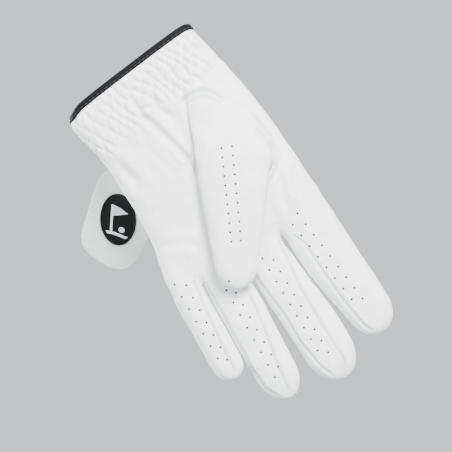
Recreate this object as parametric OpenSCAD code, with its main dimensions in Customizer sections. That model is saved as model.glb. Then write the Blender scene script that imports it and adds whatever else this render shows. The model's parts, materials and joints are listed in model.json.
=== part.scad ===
// Leather golf glove for the left hand, hanging fingers down with the closure tab open.
// X runs to the index-finger side, Z up to the wrist, and the palm faces -Y.
// The origin is the middle of the loop patch's outer face, on the back of the hand.

/* [Leather and textile] */
// Thickness of the leather walls
wall = 1.2; // [0.8:0.1:2]
// Gap between neighbouring shells
gap = 0.4; // [0.3:0.1:1]
// Height of the dark binding round the wrist edge
binding_height = 4; // [2:0.5:8]

/* [Hand] */
// Half thickness of the hand at the loop patch
hand_half = 11; // [8:0.5:16]
// Flatness of the hand's cross-section (2 is an ellipse)
hand_power = 3.2; // [2:0.1:5]
// Slope of the wrist edge across the hand, in mm per mm
cuff_slope = 0.095; // [0:0.005:0.2]
// Height at which the palm divides into fingers
crotch_z = -121; // [-130:1:-110]

/* [Fingers] */
// Half thickness of the fingers
finger_half = 8; // [6:0.5:11]
// Flatness of a finger's cross-section
finger_power = 2.6; // [2:0.1:4]
// Half angle of the side strips between the fingers
side_angle = 30; // [20:1:45]

/* [Thumb] */
// Lean of the folded thumb away from straight down, in degrees
thumb_lean = 29.5; // [0:0.5:60]
// Distance along the thumb from its origin to the bending line
thumb_bend = 20; // [5:1:25]
// Half thickness of the thumb, which hangs empty and nearly flat
thumb_half = 5.5; // [5:0.5:8]

/* [Closure tab] */
// Tilt of the open tab behind the plane of the palm, in degrees
tab_tilt = 30; // [0:1:60]
// Lean of the tab's bending line away from the glove's length, in degrees
tab_lean = 23; // [0:1:40]
// Thickness of the tab's leather
tab_leather = 0.9; // [0.5:0.1:2]
// Thickness of the tab's lining
tab_lining_t = 0.6; // [0.3:0.1:1.5]
// Thickness of the hook pad and of the loop patch
hook_t = 0.8; // [0.5:0.1:2]
// Height of the bending line above the loop patch's face
tab_rise = 1.1; // [0.8:0.1:3]
// Width and height of the loop patch
patch_size = 32; // [26:1:36]
// Width of the hook pad
hook_w = 26; // [20:1:30]
// Height of the hook pad
hook_h = 24; // [18:1:28]

/* [Badge] */
// Half length of the oval badge
badge_a = 17; // [10:0.5:22]
// Half width of the oval badge
badge_b = 11.4; // [8:0.2:18]
// Turn of the oval on the tab, in degrees
badge_turn = 155; // [0:5:180]

/* [Hidden] */
white = [0.92, 0.93, 0.93];
grey = [0.80, 0.83, 0.82];
dark = [0.14, 0.145, 0.15];

// The middle plane of the hand and the wrist edge, as seen from the origin.
mid_y = -(hand_half + 0.05 + hook_t);
cuff_z = 46;

// The hand: centre, half width and half thickness at heights below the wrist edge.
hand_centre = [[-121, 5], [-105, 6.2], [-80, 7.2], [-45, 6], [-15, 0.6], [0, 1]];
hand_width = [[-121, 51.5], [-105, 49.2], [-80, 47.8], [-45, 46], [-15, 45.4], [0, 42.4]];
hand_depth = [[-121, finger_half + 0.5], [-105, 9.6], [-80, 10.6], [-66, hand_half],
              [-20, hand_half], [0, hand_half + 1]];
hand_rows = [-binding_height - 0.05, -10, -18, -28, -38, -46, -54, -62, -72, -82, -92, -101, -111, crotch_z];

// Each finger: bend height, start of the rounded tip, tip, then [height, centre, half width] rows.
little = [-146, -173, -184, [[-173, -41, 9.3], [-150, -39.9, 9.4], [-131, -38.7, 9.2], [-121, -37.6, 8.9]]];
ring = [-152, -190.5, -210, [[-190.5, -19.8, 12.3], [-150, -17.4, 12.6], [-121, -16.1, 12.3]]];
middle = [-152, -197, -216.5, [[-197, 12.2, 14.7], [-179, 12.2, 14.8], [-152, 10.8, 13], [-121, 10.3, 12.7]]];
index = [-150, -189, -205.7, [[-189, 44, 13.2], [-177, 43, 14], [-153, 41.2, 15.6], [-121, 40.2, 16]]];

// The thumb: the place of its frame, then [height, half width] rows, start of the rounded tip, tip.
thumb_at = [26.4, -69.4];
thumb_rows = [[-64, 13.6], [-45, 17], [-35, 18.4], [-20, 20.5]];
thumb_dome = -64;
thumb_tip = -81.5;
// The mound over the thumb hole: [height, centre, half width, height above the palm].
mound_rows = [[30, -16, 7, 2.4], [24, -12, 11.5, 5], [16, -6.5, 16.5, 7.8], [8, -2.5, 20, 9.6],
              [0, -0.2, 22.4, 10.6], [-10, 0, 21.6, 11.2], [-thumb_bend + gap, 0, 20.5, 11.4]];

// Closed shell between two grids of points, with a cell left out where keep(i, j) is false.
// The grids and the mask are lists of rows.
module shell(outer, inner, mask) {
  n = len(outer);
  m = len(outer[0]);
  function id(i, j) = i * m + j;
  function on(i, j) = i >= 0 && j >= 0 && i < n - 1 && j < m - 1 && mask[i][j];
  k = n * m;
  faces = [
    for (i = [0:n - 2], j = [0:m - 2]) if (on(i, j)) each [
      [id(i, j), id(i + 1, j), id(i + 1, j + 1)],
      [id(i, j), id(i + 1, j + 1), id(i, j + 1)],
      [k + id(i, j), k + id(i + 1, j + 1), k + id(i + 1, j)],
      [k + id(i, j), k + id(i, j + 1), k + id(i + 1, j + 1)],
      if (!on(i - 1, j)) each wall_faces(id(i, j), id(i, j + 1), k),
      if (!on(i + 1, j)) each wall_faces(id(i + 1, j + 1), id(i + 1, j), k),
      if (!on(i, j - 1)) each wall_faces(id(i + 1, j), id(i, j), k),
      if (!on(i, j + 1)) each wall_faces(id(i, j + 1), id(i + 1, j + 1), k)
    ]
  ];
  points = concat([for (r = outer) each r], [for (r = inner) each r]);
  polyhedron(points = points, faces = faces, convexity = 6);
}
function wall_faces(a, b, k) = [[a, b, b + k], [a, b + k, a + k]];
function full(n, m) = [for (i = [0:n - 2]) [for (j = [0:m - 2]) true]];

// A point of the hand's surface: height z, fraction u across it, side -1 palm or 1 back, inset w.
function drop(u, p) = abs(u) >= 1 ? 0 : pow(1 - pow(abs(u), p), 1 / p);
function hand_point(z, u, side, w) =
  let (x = lookup(z, hand_centre) + (lookup(z, hand_width) - w) * u)
  [x, mid_y + side * (lookup(z, hand_depth) - w) * drop(u, hand_power),
   cuff_z + z + cuff_slope * x * max(0, 1 + z / 40)];
function hand_grid(rows, us, side, w) = [for (z = rows) [for (u = us) hand_point(z, u, side, w)]];

// A panel of the hand, wound so that its outer face looks outwards.
module hand_panel(rows, us, side, w_out, w_in, mask) {
  outer = hand_grid(rows, us, side, w_out);
  inner = hand_grid(rows, us, side, w_in);
  if (side < 0) shell(outer, inner, mask);
  else shell(inner, outer, mask);
}

palm_us = [-1, -0.97, -0.9, -0.78, -0.6, -0.4, -0.2, 0, 0.16, 0.32, 0.48, 0.64, 0.78, 0.9, 0.97, 1];
back_us = [-1, -0.97, -0.9, -0.78, -0.61, -0.54, -0.4, -0.2, 0, 0.2, 0.42, 0.6, 0.76, 0.88, 0.96, 1];

// Cells left out of the panels: the thumb hole in the palm, and the slit in the back.
hole_rows = [5, 8];
hole_columns = [8, 10];
slit_column = 4;
slit_last_row = 6;
hand_cells = [len(hand_rows) - 2, len(palm_us) - 2];
function within(k, range) = k >= range[0] && k <= range[1];
function in_hole(i, j) = within(i, hole_rows) && within(j, hole_columns);
function in_slit(i, j) = j == slit_column && i <= slit_last_row;

module palm_panel() color(white)
  hand_panel(hand_rows, palm_us, -1, 0, wall,
    [for (i = [0:hand_cells[0]]) [for (j = [0:hand_cells[1]]) !in_hole(i, j)]]);

module back_panel() color(white)
  hand_panel(hand_rows, back_us, 1, 0, wall,
    [for (i = [0:hand_cells[0]]) [for (j = [0:hand_cells[1]]) !in_slit(i, j)]]);

// The band runs from one edge of the slit round the whole wrist to the other.
module cuff_binding() color(dark) {
  last = len(back_us) - 1;
  us = concat([for (j = [slit_column:-1:0]) [back_us[j], 1]],
              [for (j = [1:last - 1]) [palm_us[j], -1]],
              [for (j = [last:-1:slit_column + 1]) [back_us[j], 1]]);
  rows = [0, -binding_height / 2, -binding_height];
  shell([for (z = rows) [for (p = us) hand_point(z, p[0], p[1], z == 0 ? 0 : -0.7)]],
        [for (z = rows) [for (p = us) hand_point(z, p[0], p[1], z == 0 ? wall : wall + 0.7)]],
        full(3, len(us)));
}

module slit_binding() color(dark) {
  rows = [-binding_height - 0.05, -14, -26, -38, -50, -60, -61.95];
  hand_panel(rows, [-0.602, -0.583, -0.567, -0.548], 1, -0.6, wall + 0.5,
    [for (i = [0:5]) [for (j = [0:2]) j != 1 || i == 5]]);
}

module wrist_elastic() color(dark)
  hand_panel([-14, -22, -30, -38, -44], [-0.82, -0.66, -0.4, -0.15, 0.1, 0.35, 0.6, 0.78],
    -1, wall + 0.15, wall + 1.15, full(5, 8));

module size_label() color(white)
  hand_panel([-7, -16, -25], [0.1, 0.27, 0.44], 1, wall + 0.2, wall + 0.8, full(3, 3));

// The loop patch's outer face is the plane through the origin.
module loop_patch() color(dark)
  rotate([90, 0, 0]) linear_extrude(hook_t) rounded(patch_size, patch_size, 4);

module rounded(a, b, r) {
  square([a - 2 * r, b], center = true);
  square([a, b - 2 * r], center = true);
  for (i = [-1, 1], j = [-1, 1]) translate([i * (a / 2 - r), j * (b / 2 - r)]) circle(r, $fn = 48);
}

// Tubes: a station is [height out, height in, centre, half width, half depth, same two inside].
function station(z, c, a, b) = [z, z, c, a, b, a - wall, b - wall];
function dome(z, tip, c, a, b, t) =
  [z - (z - tip) * sin(t), z - (z - tip - wall) * sin(t), c, a * cos(t), b * cos(t),
   (a - wall) * cos(t), (b - wall) * cos(t)];
dome_steps = [12, 24, 36, 48, 59, 69, 77, 83];
function column(rows, k) = [for (r = rows) [r[0], r[k]]];
function round_x(f, p) = sign(cos(f)) * pow(abs(cos(f)), 2 / p);
function round_y(f, p) = sign(sin(f)) * pow(abs(sin(f)), 2 / p);
module tube(stations, angles, power, y) {
  outer = [for (s = stations) [for (f = angles)
    [s[2] + s[3] * round_x(f, power), y + s[4] * round_y(f, power), s[0]]]];
  inner = [for (s = stations) [for (f = angles)
    [s[2] + s[5] * round_x(f, power), y + s[6] * round_y(f, power), s[1]]]];
  shell(outer, inner, full(len(stations), len(angles)));
}
function spread(a, b, n) = [for (i = [0:n]) a + (b - a) * i / n];

// Fingers. Angles count from +X towards +Y, so the palm side is round 270.
function finger_rows(f, from, to, n) =
  let (centre = column(f[3], 1), width = column(f[3], 2))
  [for (z = spread(from, to, n)) station(z, lookup(z, centre), lookup(z, width), finger_half)];
function finger_root(f) = finger_rows(f, crotch_z - gap, f[0] + gap / 2, 4);
function finger_end(f) =
  let (c = lookup(f[1], column(f[3], 1)), a = lookup(f[1], column(f[3], 2)))
  concat(finger_rows(f, f[0] - gap / 2, f[1], 4),
         [for (t = dome_steps) dome(f[1], f[2], c, a, finger_half, t)]);
module finger_tube(stations, angles) translate([0, 0, cuff_z]) tube(stations, angles, finger_power, mid_y);
front_mid = spread(180 + side_angle, 360 - side_angle, 8);
back_mid = spread(side_angle, 180 - side_angle, 8);
right_strip = spread(-side_angle, side_angle, 4);
left_strip = spread(180 - side_angle, 180 + side_angle, 4);
index_front_a = spread(180 + side_angle, 360, 10);
index_back_a = spread(0, 180 - side_angle, 10);
little_front_a = spread(180, 360 - side_angle, 10);
little_back_a = spread(side_angle, 180, 10);

module index_root_front() color(white) finger_tube(finger_root(index), index_front_a);
module index_root_back() color(white) finger_tube(finger_root(index), index_back_a);
module middle_root_front() color(white) finger_tube(finger_root(middle), front_mid);
module middle_root_back() color(white) finger_tube(finger_root(middle), back_mid);
module ring_root_front() color(white) finger_tube(finger_root(ring), front_mid);
module ring_root_back() color(white) finger_tube(finger_root(ring), back_mid);
module little_root_front() color(white) finger_tube(finger_root(little), little_front_a);
module little_root_back() color(white) finger_tube(finger_root(little), little_back_a);

module fourchette_index_middle() color(white) {
  finger_tube(finger_root(index), left_strip);
  finger_tube(finger_root(middle), right_strip);
}
module fourchette_middle_ring() color(white) {
  finger_tube(finger_root(middle), left_strip);
  finger_tube(finger_root(ring), right_strip);
}
module fourchette_ring_little() color(white) {
  finger_tube(finger_root(ring), left_strip);
  finger_tube(finger_root(little), right_strip);
}

module index_front() color(white) finger_tube(finger_end(index), index_front_a);
module index_back() color(white) finger_tube(finger_end(index), index_back_a);
module index_side() color(white) finger_tube(finger_end(index), left_strip);
module middle_front() color(white) finger_tube(finger_end(middle), front_mid);
module middle_back() color(white) finger_tube(finger_end(middle), back_mid);
module middle_sides() color(white) {
  finger_tube(finger_end(middle), left_strip);
  finger_tube(finger_end(middle), right_strip);
}
module ring_front() color(white) finger_tube(finger_end(ring), front_mid);
module ring_back() color(white) finger_tube(finger_end(ring), back_mid);
module ring_sides() color(white) {
  finger_tube(finger_end(ring), left_strip);
  finger_tube(finger_end(ring), right_strip);
}
module little_front() color(white) finger_tube(finger_end(little), little_front_a);
module little_back() color(white) finger_tube(finger_end(little), little_back_a);
module little_side() color(white) finger_tube(finger_end(little), right_strip);

// The thumb lies over the palm. Its frame has Z against its length and X across it.
thumb_y = mid_y - hand_half - 0.5 - thumb_half;
module thumb_frame() translate([thumb_at[0], 0, cuff_z + thumb_at[1]]) rotate([0, thumb_lean, 0]) children();
front_arc = spread(180, 360, 14);
back_arc = spread(0, 180, 14);
function thumb_end() =
  let (a = lookup(thumb_dome, thumb_rows))
  concat([for (z = spread(-thumb_bend, thumb_dome, 6)) station(z, 0, lookup(z, thumb_rows), thumb_half)],
         [for (t = dome_steps) dome(thumb_dome, thumb_tip, 0, a, thumb_half, t)]);
module thumb_front() color(white) thumb_frame() tube(thumb_end(), front_arc, finger_power, thumb_y);
module thumb_back() color(white) thumb_frame() tube(thumb_end(), back_arc, finger_power, thumb_y);
module thumb_mound() color(white) thumb_frame()
  tube([for (r = mound_rows) station(r[0], r[1], r[2], r[3])], front_arc, finger_power,
       mid_y - hand_half - 0.1);

// The closure tab, in a frame on its bending line: X across the tab, Y along the line,
// Z towards the lining's side. It stands open behind the little-finger edge.
tab_at = [-30, tab_rise, cuff_z - 54];
module tab_frame() {
  q = [-cos(tab_tilt) * cos(tab_lean), sin(tab_tilt), -cos(tab_tilt) * sin(tab_lean)];
  p = [-sin(tab_lean), 0, cos(tab_lean)];
  n = cross(q, p);
  multmatrix([[q[0], p[0], n[0], tab_at[0]], [q[1], p[1], n[1], tab_at[1]], [q[2], p[2], n[2], tab_at[2]]])
    children();
}
// Round corners of the tab: [across, along, radius]. Its root is straight, on the bending line.
tab_corners = [[51.5, 1.5, 9], [47.5, -14, 13.5], [27, -15.5, 9.5], [14, 11, 6.5]];
tab_root = [[1, -13], [3, 15]];
lining_inset = 1.2;
module tab_outline(inset) hull() {
  translate([tab_root[0][0] + inset, tab_root[0][1] + inset])
    square([tab_root[1][0] - tab_root[0][0], tab_root[1][1] - tab_root[0][1] - 2 * inset]);
  for (c = tab_corners) translate([c[0], c[1]]) circle(c[2] - inset, $fn = 48);
}
module closure_tab() color(grey)
  tab_frame() translate([0, 0, -tab_lining_t - tab_leather]) linear_extrude(tab_leather) tab_outline(0);
module tab_lining() color(white)
  tab_frame() translate([0, 0, -tab_lining_t]) linear_extrude(tab_lining_t) tab_outline(lining_inset);
hook_at = [31, -6];
module hook_pad() color(dark)
  tab_frame() translate([hook_at[0], hook_at[1], 0]) linear_extrude(hook_t) rounded(hook_w, hook_h, 4);
// The strip sewn to the back beside the slit, which holds the tab's root.
anchor_size = [4.5, 2.1, 18];
anchor_at = [0.5, -1.4, -4];
module tab_anchor() color(grey)
  translate([tab_at[0], 0, tab_at[2]]) rotate([0, -tab_lean, 0])
    translate(anchor_at) cube(anchor_size);

// The badge: a plate with a raised rim and a raised motif.
badge_at = [29, -5];
motif_t = 0.4;
plate_t = 1;
rim_w = 1.4;
rim_t = 0.6;
module badge_frame() tab_frame()
  translate([badge_at[0], badge_at[1], -tab_lining_t - tab_leather]) rotate([0, 0, badge_turn])
    mirror([0, 0, 1]) children();
module oval(a, b) scale([a / b, 1, 1]) circle(b, $fn = 96);
module badge_plate() color(dark) badge_frame() linear_extrude(plate_t) oval(badge_a, badge_b);
module badge_rim() color(dark) badge_frame() translate([0, 0, plate_t]) linear_extrude(rim_t)
  difference() {
    oval(badge_a, badge_b);
    oval(badge_a - rim_w, badge_b - rim_w);
  }
// A plain pennant on its pole, a ball and the ground under them, with the long axis of the oval upright.
module badge_motif() color(white) badge_frame() translate([0, 0, plate_t]) linear_extrude(motif_t)
  mirror([1, -1, 0]) {
    translate([-4.4, -8.6]) square([1.5, 18.2]);
    polygon([[-3, 9.6], [1.2, 8.5], [6.4, 5.7], [1.4, 3.9], [-3, 2.6]]);
    translate([3, -5.6]) circle(1.9, $fn = 32);
    polygon([[-7.2, -8.4], [-2.5, -8], [2, -8.6], [7.2, -9.9],
             [5.6, -11.4], [1.6, -10.4], [-2.5, -9.9], [-6, -10.2]]);
  }

palm_panel();
back_panel();
cuff_binding();
slit_binding();
wrist_elastic();
size_label();
loop_patch();
tab_anchor();
thumb_mound();
index_root_front();
index_root_back();
middle_root_front();
middle_root_back();
ring_root_front();
ring_root_back();
little_root_front();
little_root_back();
fourchette_index_middle();
fourchette_middle_ring();
fourchette_ring_little();
index_front();
index_back();
index_side();
middle_front();
middle_back();
middle_sides();
ring_front();
ring_back();
ring_sides();
little_front();
little_back();
little_side();
thumb_front();
thumb_back();
closure_tab();
tab_lining();
hook_pad();
badge_plate();
badge_rim();
badge_motif();
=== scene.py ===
"""Golf glove: leather skin, bindings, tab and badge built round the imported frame."""
import json
import math
import bmesh
import bpy
import numpy as np
from mathutils import Vector, Matrix
from mathutils.bvhtree import BVHTree
from mathutils.geometry import delaunay_2d_cdt


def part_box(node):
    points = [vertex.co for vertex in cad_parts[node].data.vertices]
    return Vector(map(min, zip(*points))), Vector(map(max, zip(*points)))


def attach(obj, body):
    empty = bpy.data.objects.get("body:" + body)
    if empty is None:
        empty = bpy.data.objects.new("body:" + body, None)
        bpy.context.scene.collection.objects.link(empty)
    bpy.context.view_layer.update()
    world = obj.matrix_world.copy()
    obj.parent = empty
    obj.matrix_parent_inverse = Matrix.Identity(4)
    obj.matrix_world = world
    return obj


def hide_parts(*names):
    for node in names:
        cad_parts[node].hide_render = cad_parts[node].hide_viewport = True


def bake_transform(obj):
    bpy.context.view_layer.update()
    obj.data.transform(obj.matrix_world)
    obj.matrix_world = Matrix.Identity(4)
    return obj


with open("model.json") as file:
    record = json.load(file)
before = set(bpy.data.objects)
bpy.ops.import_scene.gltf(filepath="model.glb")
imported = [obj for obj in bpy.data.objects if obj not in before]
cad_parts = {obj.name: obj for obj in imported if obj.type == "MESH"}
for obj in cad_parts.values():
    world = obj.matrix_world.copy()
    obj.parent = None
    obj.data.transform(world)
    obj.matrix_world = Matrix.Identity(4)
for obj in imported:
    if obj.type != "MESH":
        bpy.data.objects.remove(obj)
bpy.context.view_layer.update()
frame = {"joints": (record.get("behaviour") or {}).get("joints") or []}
MM = .001
MID, CUFF = -11.85, 46.0          # the glove frame's middle plane (y) and wrist edge (z) in the row frame, mm
TO_ROW = np.array([0, MID, CUFF])
CUFF_SLOPE = .095                 # the wrist edge is higher on the index side
VOXEL = 1.45    # mm
RELAX_TIMES = 14


def row(P):
    """Glove frame in mm to the row frame in metres."""
    return (np.asarray(P, float) + TO_ROW) / 1000


def glove(P):
    """Row frame in metres to the glove frame in mm."""
    return P * 1000 - TO_ROW


def table(rows, k=1):
    r = sorted((a[0], a[k]) for a in rows)
    xs, ys = [a for a, _ in r], [b for _, b in r]
    return lambda z: np.interp(z, xs, ys)


def smooth(a, b, t):
    t = np.clip((np.asarray(t, float) - a) / (b - a), 0, 1)
    return t * t * (3 - 2 * t)


# -------- noise
def vnoise(P, size, seed):
    """Smooth value noise, -1 to 1, with cells of the given size in mm."""
    Q = np.asarray(P, float) / size + 37.7 * seed
    i = np.floor(Q).astype(np.int64)
    f = Q - i
    f = f * f * (3 - 2 * f)
    out = np.zeros(len(Q))
    for corner in np.ndindex(2, 2, 2):
        c = i + corner
        h = c[:, 0] * 73856093 ^ c[:, 1] * 19349663 ^ c[:, 2] * 83492791 ^ seed * 2654435
        h = (h * 1103515245 + 12345) & 0x7FFFFFFF
        h = ((h >> 7) * 48271) & 0x7FFFFFFF
        out += ((h % 20011) / 10005.0 - 1) * np.prod(np.where(corner, f, 1 - f), axis=1)
    return out


def to_line(P2, pts):
    """Distance to a polyline, distance along it, and its length."""
    best, along, run = np.full(len(P2), 1e9), np.zeros(len(P2)), 0.0
    for a, b in zip(pts[:-1], pts[1:]):
        a, b = np.array(a, float), np.array(b, float)
        d = b - a
        L = np.hypot(*d)
        r = P2 - a
        t = np.clip((r @ d) / (L * L), 0, 1)
        q = r - t[:, None] * d
        e = np.hypot(q[:, 0], q[:, 1])
        m = e < best
        best[m], along[m] = e[m], run + t[m] * L
        run += L
    return best, along, run


# -------- the glove's form
# the hand by height: centre, half width and half depth
HAND_C = [(14, -.6), (0, .2), (-15, 1), (-45, 6), (-80, 7.2), (-105, 6.2), (-121, 5), (-128, 4.6)]
HAND_W = [(14, 42), (0, 43.2), (-15, 45), (-45, 46), (-80, 47.8), (-105, 49.2), (-121, 51.3), (-128, 51.6)]
HAND_D = [(14, 12.3), (0, 11.6), (-20, 10.8), (-66, 10.6), (-80, 10.2), (-105, 9.2), (-121, 8.4), (-128, 7.4)]
# start of the tip, tip, bending height, sideways room while modelling; then height, centre and half width
FINGERS = {
    "little": dict(dome=-173, tip=-184, bend=-146, room=-7, rows=[
        (-173, -41, 9.5), (-150, -39.9, 9.6), (-131, -38.7, 9.4), (-121, -37.6, 9.1), (-98, -35.5, 8.6)]),
    "ring": dict(dome=-190.5, tip=-210, bend=-152, room=-2.4, rows=[
        (-190.5, -19.8, 12.6), (-150, -17.4, 12.9), (-121, -16.1, 12.6), (-98, -14.5, 12.2)]),
    "middle": dict(dome=-197, tip=-216.5, bend=-152, room=2.4, rows=[
        (-197, 12.2, 14.9), (-179, 12.2, 15), (-152, 10.8, 13.3), (-121, 10.3, 12.9), (-98, 10.3, 12.3)]),
    "index": dict(dome=-189, tip=-205.7, bend=-150, room=7, rows=[
        (-189, 44, 13.3), (-177, 43, 14.3), (-153, 41.2, 15.9), (-121, 40.2, 16.2), (-98, 38.2, 15.6)]),
}
ORDER = ["little", "ring", "middle", "index"]
DEPTH = 7.6                                # a finger's half depth
FINGERS_FROM = -124                        # the finger pieces start here
LEAN = math.radians(29.5)
TH0 = np.array([26.4, -69.4])              # the thumb's root (x, z); it leans by LEAN from here
# the thumb along its length: half width, middle (y) and depth
THUMB_W = [(-22, 15), (-10, 20.5), (0, 22.3), (10, 21.6), (20, 20.4), (35, 18.3), (45, 17), (64, 13.7)]
THUMB_Y = [(-30, -11.5), (10, -13.6), (20, -14.2), (40, -13.9), (64, -12.9), (90, -12.3)]
THUMB_D = [(10, 7.8), (40, 7.2), (64, 6.4)]
THUMB_LOW = .36                            # its depth below its edge, as a part of the depth above it
# the swell at the thumb's root: place along the thumb, middle, half width, height
SWELL = [(-33, -13, 7, .2), (-29, -12.5, 11, 2.2), (-22, -9, 16, 4.8), (-14, -4, 20, 7), (-5, 0, 23, 8.6),
         (5, 1.5, 23, 9.4), (14, 1.5, 20.5, 9), (20, 1, 15, 5.5)]
THUMB_LIFT = 3.2                           # mm off the palm while it is modelled
THUMB_EDGE = .3                            # its side seam lies this far behind its middle line
THUMB_STRAIGHT, THUMB_DOME = 64, 17.5      # length before the tip, and of the tip


def finger(n):
    """A finger's middle line and half width, by height."""
    return table(FINGERS[n]["rows"]), table(FINGERS[n]["rows"], 2)


def between(a, b, z):
    """The line between two neighbouring fingers."""
    (ca, wa), (cb, wb) = finger(a), finger(b)
    return (ca(z) + wa(z) + cb(z) - wb(z)) / 2


def thumb_local(P):
    """(s along the thumb from its root, u across it) of points in the glove frame."""
    dx, dz = P[:, 0] - TH0[0], P[:, 2] - TH0[1]
    return (-math.sin(LEAN) * dx - math.cos(LEAN) * dz, math.cos(LEAN) * dx - math.sin(LEAN) * dz)


def thumb_point(s, u, y):
    return np.array([TH0[0] - math.sin(LEAN) * s + math.cos(LEAN) * u, y,
                     TH0[1] - math.cos(LEAN) * s - math.sin(LEAN) * u])


def turn(n):
    return np.linspace(0, 2 * math.pi, n, endpoint=False)


def ring_pairs(n, a, b):
    """Faces between two rings of n vertices that start at a and b."""
    return [[a + j, a + (j + 1) % n, b + (j + 1) % n, b + j] for j in range(n)]


def tube_ring_faces(n_rings, n, ends=False):
    F_ = [f for i in range(n_rings - 1) for f in ring_pairs(n, i * n, (i + 1) * n)]
    return F_ + [list(range(n))[::-1], [(n_rings - 1) * n + j for j in range(n)]] if ends else F_


def super_ring(a, b, p, n):
    c, s = np.cos(turn(n)), np.sin(turn(n))
    return np.stack([a * np.sign(c) * abs(c) ** (2 / p), b * np.sign(s) * abs(s) ** (2 / p)], 1)


def loft(rings):
    """Closed mesh through rings of equal length."""
    return np.concatenate(rings), tube_ring_faces(len(rings), len(rings[0]), True)


def dome_steps(z0, tip, n=9):
    return [(z0 + (tip - z0) * math.sin(t), math.cos(t)) for t in np.linspace(0.12, math.pi / 2 * .985, n)]


def mesh_of(name, V, F):
    me = bpy.data.meshes.new(name)
    me.from_pydata([tuple(v) for v in V], [], [list(map(int, f)) for f in F])
    me.update()
    return me


def join_parts(parts):
    V, F, k = [], [], 0
    for v, f in parts:
        V.append(v)
        F += [[i + k for i in g] for g in f]
        k += len(v)
    return np.concatenate(V), F


def room(x, z, spread):
    """Sideways shift that keeps the fingers apart while they are modelled."""
    g = smooth(-112, -125, z)
    off = np.full(np.shape(x), float(FINGERS["little"]["room"]))
    for a, b in zip(ORDER[:-1], ORDER[1:]):
        fa, fb = FINGERS[a], FINGERS[b]
        mid = between(a, b, z) + (g * (fa["room"] + fb["room"]) / 2 if spread else 0)
        half = 2.0 if spread else 0.5
        off = off + (fb["room"] - fa["room"]) * smooth(-half, half, x - mid)
    return off * g


def build_form():
    parts = []
    rings = []
    for z in np.linspace(12, -126, 47):
        a, b, c = table(HAND_W)(z), table(HAND_D)(z), table(HAND_C)(z)
        k = smooth(-131, -118, z) ** .5
        r = super_ring(a - 2.5 * (1 - k), b * max(k, .25), 3.0, 96)
        x = c + r[:, 0]
        rings.append(np.stack([x + room(x, np.full(96, z), False), r[:, 1], np.full(96, z)], 1))
    parts.append(loft(rings))
    for n in ORDER:
        f = FINGERS[n]
        cx, hw = finger(n)
        st = [(z, 1.0) for z in np.linspace(-100, f["dome"], 30)] + dome_steps(f["dome"], f["tip"])
        rings = []
        for z, k in st:
            zz = max(z, f["dome"])
            taper = 0.78 + 0.22 * smooth(-100, -124, z)
            r = super_ring(float(hw(zz)) * k, DEPTH * (k ** .8) * taper, 2.7, 48)
            x = float(cx(zz)) + f["room"] * float(smooth(-112, -125, z))
            rings.append(np.stack([x + r[:, 0], r[:, 1], np.full(48, z)], 1))
        parts.append(loft(rings))
    # thumb tube, lifted a little off the palm while it is modelled
    rings = []
    st = [(s, 1.0) for s in np.linspace(-22, THUMB_STRAIGHT, 34)]
    st += [(THUMB_STRAIGHT + THUMB_DOME * math.sin(t), math.cos(t)) for t in np.linspace(.12, 1.545, 9)]
    for s, k in st:
        w = float(table(THUMB_W)(min(s, THUMB_STRAIGHT)))
        d = float(table(THUMB_D)(s)) * (0.35 + 0.65 * float(smooth(-26, 2, s)))
        y = float(table(THUMB_Y)(s)) - THUMB_LIFT * float(smooth(6, 18, s))
        c = -3.2 * float(smooth(5, -12, s))
        ring = super_ring(w * k, d * k ** .8, 2.6, 48)
        rings.append(np.array([thumb_point(s, c + u, y + h * (THUMB_LOW if h > 0 else 1)) for u, h in ring]))
    parts.append(loft(rings))
    # the swell over the thumb's root, which runs out into the palm towards the index side
    rings = []
    for s, c, w, h in SWELL:
        rings.append(np.array([thumb_point(s, c + u, -7 + y) for u, y in super_ring(w, h + 4, 2.5, 48)]))
    parts.append(loft(rings))
    V, F = join_parts(parts)
    ob = add_object("form", mesh_of("form", row(V), F))
    m = ob.modifiers.new("r", "REMESH")
    m.mode, m.voxel_size, m.adaptivity = "VOXEL", VOXEL / 1000, 0
    me = evaluated(ob)
    bpy.data.objects.remove(ob)
    return me


def add_object(name, data):
    ob = bpy.data.objects.new(name, data)
    bpy.context.collection.objects.link(ob)
    return ob


def evaluated(ob):
    dg = bpy.context.evaluated_depsgraph_get()
    return bpy.data.meshes.new_from_object(ob.evaluated_get(dg))


def values(items, key, width=3, kind=float):
    a = np.empty(len(items) * width, kind)
    items.foreach_get(key, a)
    return a.reshape(-1, width)


def coords(me):
    return values(me.vertices, "co")


def set_coords(me, P):
    me.vertices.foreach_set("co", np.asarray(P, np.float64).ravel())
    me.update()


def normals(me):
    return values(me.vertex_normals, "vector")


def edges_of(me):
    return values(me.edges, "vertices", 2, np.int64)


def relax(P, E, times, amount=.5, weight=None):
    n = len(P)
    a, b = E.T
    deg = np.bincount(E.ravel(), minlength=n)[:, None].clip(1)
    for _ in range(times):
        S = np.stack([np.bincount(a, P[b, k], n) + np.bincount(b, P[a, k], n) for k in range(3)], 1)
        step = amount * (S / deg - P)
        P = P + (step if weight is None else step * weight[:, None])
    return P


form = build_form()
G = glove(coords(form))
E = edges_of(form)
G = relax(G, E, RELAX_TIMES)


def is_thumb(P, gap=1.2):
    s, u = thumb_local(P)
    surf = -table(HAND_D)(np.maximum(P[:, 2], -121)) + 0.3
    return (s > 6) & (abs(u) < 26) & (P[:, 1] < surf - gap * smooth(6, 20, s) - .3)


s_, u_ = thumb_local(G)
th = is_thumb(G, 2.0)
G[:, 1] += np.where(th, THUMB_LIFT * smooth(6, 18, s_), 0)
G[:, 0] -= np.where(th, 0, room(G[:, 0], G[:, 2], True))
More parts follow.
